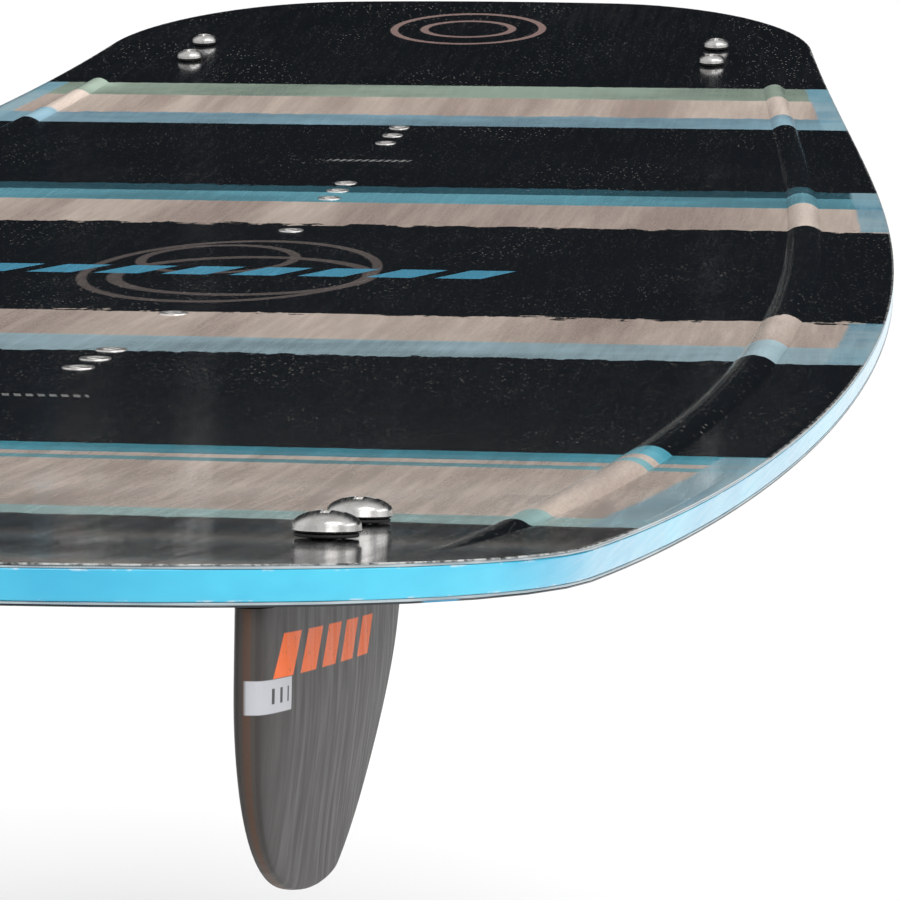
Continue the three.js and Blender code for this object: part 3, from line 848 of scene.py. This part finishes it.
def ringSection(outer, inner, bottom, top, bevel):  # a closed section with broken corners, outside wall first
    return np.array((
        (outer - bevel, bottom), (outer - bevel * 0.3, bottom + bevel * 0.3), (outer, bottom + bevel),
        (outer, top - bevel), (outer - bevel * 0.3, top - bevel * 0.3), (outer - bevel, top),
        (inner + bevel, top), (inner + bevel * 0.3, top - bevel * 0.3), (inner, top - bevel),
        (inner, bottom + bevel), (inner + bevel * 0.3, bottom + bevel * 0.3), (inner + bevel, bottom)))


def makeWashers():
    own = washers
    section = ringSection(own["outer"], own["inner"], own["seat"], own["seat"] + own["thickness"], 0.0002)
    points, faces = turned(section, 56, closed=True)
    for name, (place, _) in finStations.items():
        for spot, along in screwPlaces:
            node = f"screw_washer_{name}_{spot}"
            piece = newPiece(spoken(node), placed(points, place, along), faces)
            finishPiece(piece, node, node, washerRubber)
    print("washers done")


def makeSleeves():
    own = sleeves
    diamonds = lambda angle, height: np.abs(
        np.sin(18 * angle + height * 5200) * np.sin(18 * angle - height * 5200))
    thread = helix(screws["pitch"])
    for name, (place, _) in finStations.items():
        for spot, along in screwPlaces:
            top = float(baseDepth(place, along)) - fins["seatGap"] - inserts["gap"]
            bottom = top - own["length"]
            up = np.linspace(bottom + 0.0004, top - 0.0004, 44)
            down = up[::-1]
            fade = np.minimum(smoothStep(up, bottom, bottom + 0.0012), smoothStep(top - up, 0, 0.0012))
            outside = np.stack((own["outer"] - 0.00022 + 0 * up, up, 0.00022 * fade), -1)
            inside = np.stack((own["bore"] + 0 * down, down, own["groove"] * fade[::-1]), -1)
            section = np.concatenate((
                ((own["outer"] - 0.0005, bottom, 0),), outside,
                ((own["outer"] - 0.0005, top, 0), (own["bore"] + 0.0004, top, 0)), inside,
                ((own["bore"] + 0.0004, bottom, 0),)))
            half = len(up) + 2

            def relief(angle, height, half=half):  # knurled outside, threaded inside
                isOutside = np.arange(len(height))[:, None] < half
                return np.where(isOutside, diamonds(angle, height), thread(angle, height))

            node = f"fin_thread_{name}_{spot}"
            points, faces = turned(section, 72, relief, closed=True)
            piece = newPiece(spoken(node), placed(points, place, along), faces)
            finishPiece(piece, f"fin_{name}", node, sleeveBrass)
    print("brass threads done")


def makeWasherRubber():
    material, surface, place = newMaterial("washerRubber")
    cloud = noise(place, (700, 700, 700), 4, 0.6)
    shade = mixed(step(cloud, 0.35, 0.75), colour(14, 14, 15), colour(34, 34, 35))
    setLook(surface, shade, step(cloud, 0.3, 0.7, 0.5, 0.72))
    bumpy(surface, cloud, 0.00003, 0.6)
    return material


insertSteel = metal("insertSteel", colour(228, 226, 222), colour(196, 192, 190), 0.3, 0.45)
screwSteel = metal("screwSteel", colour(208, 206, 203), colour(176, 174, 170), 0.22, 0.34)
sleeveBrass = metal("sleeveBrass", colour(208, 172, 98), colour(160, 124, 66), 0.24, 0.42)
washerRubber = makeWasherRubber()
makeInserts()
makeScrews()
makeWashers()
makeSleeves()

# Fins: cut and foiled plates.

finGraphics = {
    # from, to, bottom, top, pitch, share filled, slant
    "bars": (0.004, 0.094, -0.0213, -0.0145, 0.018, 0.7, 0.9),
    "barColour": colour(236, 104, 34),
    "label": (0.077, 0.12, -0.0266, -0.0214),
    "tilt": 0.055,  # the marks climb a little towards the outer edge
    "labelColour": colour(206, 206, 208),
    "tickColour": colour(60, 60, 64),
}


def finEdges(t):  # raked and rounded inboard, fuller outboard
    inner = fins["crown"] - fins["innerReach"] * (1 - t**1.45) ** (1 / 1.7)
    outer = fins["crown"] + fins["outerReach"] * (1 - t**4) ** 0.5
    return inner, outer


def makeFins():
    # Each level of depth t carries a lens section between its two edges, rounded over at the rim.
    own, levels, steps = fins, 56, 60
    t = np.sin(np.arange(levels) / levels * math.pi / 2)[:, None]
    s = (1 - np.cos(np.arange(steps + 1) / steps * math.pi))[None] / 2
    for name, (place, outboard) in finStations.items():
        tipDepth = float(baseDepth(place, own["crown"])) - own["seatGap"] - own["depth"]
        inner, outer = finEdges(t)
        along = inner + (outer - inner) * s
        depth = (baseDepth(place, along) - own["seatGap"]) * (1 - t) + tipDepth * t
        middle = own["rootHalf"] + (own["tipHalf"] - own["rootHalf"]) * smoothStep(t, 0.25, 1)
        half = own["edgeHalf"] + (middle - own["edgeHalf"]) * (4 * s * (1 - s)) ** 0.35
        toRim = np.minimum(np.minimum(s, 1 - s) * (outer - inner), (1 - t) * own["depth"])
        half = half * np.sqrt(1 - (1 - np.clip(toRim / own["roundEdge"], 0, 1)) ** 2)
        faceA = np.stack((along, half, depth), -1)
        faceB = np.stack((along, -half, depth), -1)[:, -2:0:-1]
        ring = np.concatenate((faceA, faceB), 1)
        index = np.arange(ring.shape[0] * ring.shape[1]).reshape(ring.shape[:2])
        faces = gridQuads(np.concatenate((index, index[:, :1]), 1)).tolist()
        pole = index.size
        faces += [[b, a, pole] for a, b in zip(index[-1].tolist(), np.roll(index[-1], -1).tolist())]
        top, bottom = index[0, :steps + 1], np.concatenate((index[0, :1], index[0, :steps - 1:-1]))
        faces += np.stack((top[:-1], top[1:], bottom[1:], bottom[:-1]), -1)[1:-1].tolist()
        faces += [[int(top[0]), int(top[1]), int(bottom[1])], [int(top[-2]), int(top[-1]), int(bottom[-2])]]
        points = np.concatenate((ring.reshape(-1, 3), ((own["crown"], 0, tipDepth),)))
        node = f"fin_{name}"
        piece = newPiece(spoken(node), placed(points, place), [face[::-1] for face in faces])
        cutters = []
        for _, offset in screwPlaces:
            floor = float(baseDepth(place, offset)) - own["seatGap"] - sleeves["length"] - 3 * inserts["gap"]
            bore = sleeves["outer"] + inserts["gap"]
            rod, rodFaces = turned(((0, floor), (bore, floor), (bore, 0), (0, 0)), 40)
            cutters.append((placed(rod, place, offset), rodFaces))
        cutAway(piece, newPiece("bores", *joined(cutters)))
        markFin(piece, place, outboard, tipDepth)
        finishPiece(piece, node, node, finLaminate)
    print("fins done")


def markFin(piece, place, outboard, tipDepth):
    # The fin's own flat coordinates as a UV map, in metres along and in depth, how far each point lies from
    # the rim, and whether it is on the outboard face.
    mesh = piece.data
    co = np.zeros(len(mesh.vertices) * 3, np.float32)
    mesh.vertices.foreach_get("co", co)
    local = intoFrame(co.reshape(-1, 3), place)
    along, depth = local[:, 0], local[:, 2]
    root = baseDepth(place, along) - fins["seatGap"]
    t = np.clip((depth - root) / (tipDepth - root), 0, 0.9999)
    inner, outer = finEdges(t)
    toRim = np.minimum(np.minimum(along - inner, outer - along), (1 - t) * fins["depth"])
    corner = np.zeros(len(mesh.loops), np.int32)
    mesh.loops.foreach_get("vertex_index", corner)
    flat = mesh.uv_layers.new(name="finPlace")
    flat.data.foreach_set("uv", np.stack((along, depth), -1)[corner].astype(np.float32).ravel())
    mesh.attributes.new("toRim", "FLOAT", "POINT").data.foreach_set("value", toRim.astype(np.float32))
    outward = (local[:, 1] * outboard > 0).astype(np.float32)
    mesh.attributes.new("outward", "FLOAT", "POINT").data.foreach_set("value", outward)


def makeFinLaminate():
    material, surface, _ = newMaterial("finLaminate", Specular_IOR_Level=0.06)
    tree = material.node_tree
    flat = addNode(tree, "ShaderNodeUVMap", uv_map="finPlace").outputs[0]
    axes = split(flat)
    along, depth = axes[0], axes[1]
    toRim = attribute(tree, "toRim")
    outward = attribute(tree, "outward")
    cloth = times(threads(flat, (900, 900, 1), 0.6), threads(flat, (900, 900, 1), -0.97))
    cloud = noise(flat, (14, 22, 1), 4, 0.55)
    streak = noise(flat, (300, 40, 1), 4, 0.6, (0, 0, 0), 0.1)
    shade = mixed(step(cloud, 0.32, 0.72), colour(50, 48, 47), colour(64, 61, 60))
    shade = mixed(times(step(streak, 0.45, 0.8), 0.12), shade, colour(86, 83, 81))
    shade = mixed(times(cloth, 0.1), shade, colour(96, 94, 91))
    shade = mixed(step(toRim, 0.0003, 0.0005, 0.2, 0), shade, colour(98, 92, 88))
    shade = mixed(step(toRim, 0.00008, 0.0002, 0.45, 0), shade, colour(96, 66, 46))
    start, stop, low, high, pitch, filled, slant = finGraphics["bars"]
    depth = minus(depth, times(along, finGraphics["tilt"]))
    leaning = plus(along, times(minus(depth, low), slant))
    share = calc("FRACT", calc("DIVIDE", minus(leaning, start), pitch))
    bars = times(flag(share, 0.0, filled, 0.015), flag(depth, low, high, 0.0001))
    bars = times(bars, flag(leaning, start, stop, 0.0001))
    worn = step(noise(flat, (900, 900, 1), 3, 0.7), 0.3, 0.42, 0.4, 1)
    shade = mixed(times(times(bars, outward), worn), shade, finGraphics["barColour"])
    left, right, under, over = finGraphics["label"]
    label = times(flag(along, left, right, 0.0001), flag(depth, under, over, 0.0001))
    ticks = calc("FRACT", calc("DIVIDE", minus(along, left), 0.0046))
    inHeight = flag(depth, under + 0.0014, over - 0.0014, 0.0001)
    ticks = times(flag(ticks, 0.3, 0.62, 0.03), inHeight)
    ticks = times(ticks, flag(along, left + 0.002, left + 0.0145, 0.0002))
    paper = mixed(step(cloud, 0.3, 0.7), finGraphics["labelColour"], colour(176, 177, 182))
    paper = mixed(ticks, paper, finGraphics["tickColour"])
    shade = mixed(times(label, outward), shade, paper)
    setLook(surface, shade, step(streak, 0.3, 0.7, 0.34, 0.5))
    bumpy(surface, plus(cloth, times(streak, 2.0)), 0.00002, 0.6)
    return material


finLaminate = makeFinLaminate()
makeFins()

# Core and fin blocks keep their own shapes and get a finish.


def makeCoreWood():
    plank = 0.028
    material, surface, place = newMaterial("coreWood", Roughness=0.7)
    tree = material.node_tree
    axes = split(place)
    strip = calc("FLOOR", calc("DIVIDE", axes[1], plank))
    random = addNode(tree, "ShaderNodeTexWhiteNoise", {"W": strip}, noise_dimensions="1D").outputs[0]
    tone = mixed(random, colour(214, 184, 140), colour(180, 146, 104))
    shade = mixed(0.55, tone, woodTone(place, colour(216, 188, 146), colour(150, 116, 80)))
    seam = calc("FRACT", calc("DIVIDE", axes[1], plank))
    shade = mixed(flag(seam, 0.0, 0.012, 0.004), shade, colour(110, 84, 58))
    setLook(surface, shade)
    bumpy(surface, noise(place, (40, 700, 700), 3), 0.00008, 0.5)
    return material


def makePlugPlastic():
    material, surface, place = newMaterial("plugPlastic", Roughness=0.55)
    cloud = noise(place, (120, 120, 120), 5, 0.6)
    shade = mixed(step(cloud, 0.3, 0.7), colour(226, 220, 206), colour(196, 188, 170))
    setLook(surface, shade)
    bumpy(surface, cloud, 0.0001, 0.4)
    return material


coreWood, plugPlastic = makeCoreWood(), makePlugPlastic()
for node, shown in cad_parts.items():
    if node == "core" or node.startswith("fin_block"):
        shown.data.materials.clear()
        shown.data.materials.append(coreWood if node == "core" else plugPlastic)
print("core and blocks finished")

# Studio.

studio = {
    "floorSide": 24.0,
    "floorLevel": -0.45,
    "paleWall": (0.88, 0.88, 0.9, 1),
    "darkWall": (0.012, 0.014, 0.017, 1),
    "roof": (0.86, 0.86, 0.87, 1),
    "ambient": (0.82, 0.82, 0.82, 1),
    "backdrop": (0.95, 0.95, 0.95, 1),
    "sun": (1.25, 40.0, (-0.35, -0.45, 1.0)),  # strength, disc in degrees, direction it comes from
    # name, place, looks at, width, height, watts
    "boxes": (
        ("behindCamera", (-2.4, -1.1, 1.0), (-0.55, -0.12, 0.02), 1.6, 1.0, 7),
        ("rightSide", (0.0, -2.3, 0.9), (0.0, -0.2, 0.05), 2.2, 0.9, 9),
    ),
}


def makeFloor():
    half = studio["floorSide"] / 2
    level = studio["floorLevel"]  # well below, so that the board hangs clear in soft light
    corners = ((-half, -half, level), (half, -half, level), (half, half, level), (-half, half, level))
    floor = newPiece("studioFloor", corners, [[0, 1, 2, 3]])
    material, surface, place = newMaterial("floorPaper", Roughness=0.9)
    cloud = noise(place, (3, 3, 1), 3)
    setLook(surface, mixed(cloud, colour(244, 244, 244), colour(240, 240, 240)))
    surface.inputs["Specular IOR Level"].default_value = 0.1
    floor.data.materials.append(material)


def makeWorld():
    # Pale where the camera looks past the floor, an even soft light for matt surfaces, and for mirror rays a
    # bright room with one dark low wall beyond the far tip, for the film to show.
    world = bpy.data.worlds.new("studioWorld")
    bpy.context.scene.world = world
    world.use_nodes = True
    tree = world.node_tree
    backdrop = tree.nodes["Background"]
    toward = tree.nodes.new("ShaderNodeTexCoord").outputs["Generated"]
    axes = split(toward)
    roof = step(axes[2], 0.45, 0.9)
    ahead = step(axes[0], 0.3, 0.8)
    wall = mixed(ahead, studio["paleWall"], studio["darkWall"])
    room = mixed(roof, wall, studio["roof"])
    rays = tree.nodes.new("ShaderNodeLightPath")
    room = mixed(rays.outputs["Is Diffuse Ray"], room, studio["ambient"])
    seen = mixed(rays.outputs["Is Camera Ray"], room, studio["backdrop"])
    tree.links.new(seen, backdrop.inputs["Color"])


def makeLights():
    strength, disc, direction = studio["sun"]
    sun = bpy.data.objects.new("overhead", bpy.data.lights.new("overhead", "SUN"))
    sun.data.energy, sun.data.angle = strength, math.radians(disc)
    sun.rotation_euler = Vector(direction).to_track_quat("Z", "Y").to_euler()
    bpy.context.scene.collection.objects.link(sun)
    for name, place, target, width, height, watts in studio["boxes"]:
        box = bpy.data.objects.new(name, bpy.data.lights.new(name, "AREA"))
        box.data.shape, box.data.size, box.data.size_y, box.data.energy = "RECTANGLE", width, height, watts
        box.location = place
        box.rotation_euler = (Vector(place) - Vector(target)).to_track_quat("Z", "Y").to_euler()
        bpy.context.scene.collection.objects.link(box)


def makeCamera():
    view = {"place": (-1.2153, -0.2254, 0.16076), "turn": 0.1259, "down": 0.1776, "lens": 149.03}
    lens = bpy.data.cameras.new("viewer")
    lens.lens, lens.sensor_width = view["lens"], 36
    lens.clip_start, lens.clip_end = 0.02, 60
    camera = bpy.data.objects.new("viewer", lens)
    bpy.context.scene.collection.objects.link(camera)
    camera.location = Vector(view["place"]) + Vector((0, 0, deckCentre))
    level = math.cos(view["down"])
    look = Vector((math.cos(view["turn"]) * level, math.sin(view["turn"]) * level, -math.sin(view["down"])))
    camera.rotation_euler = (-look).to_track_quat("Z", "Y").to_euler()
    bpy.context.scene.camera = camera


makeFloor()
makeWorld()
makeLights()
makeCamera()
bpy.context.scene.view_settings.view_transform = "Standard"
print("studio done")
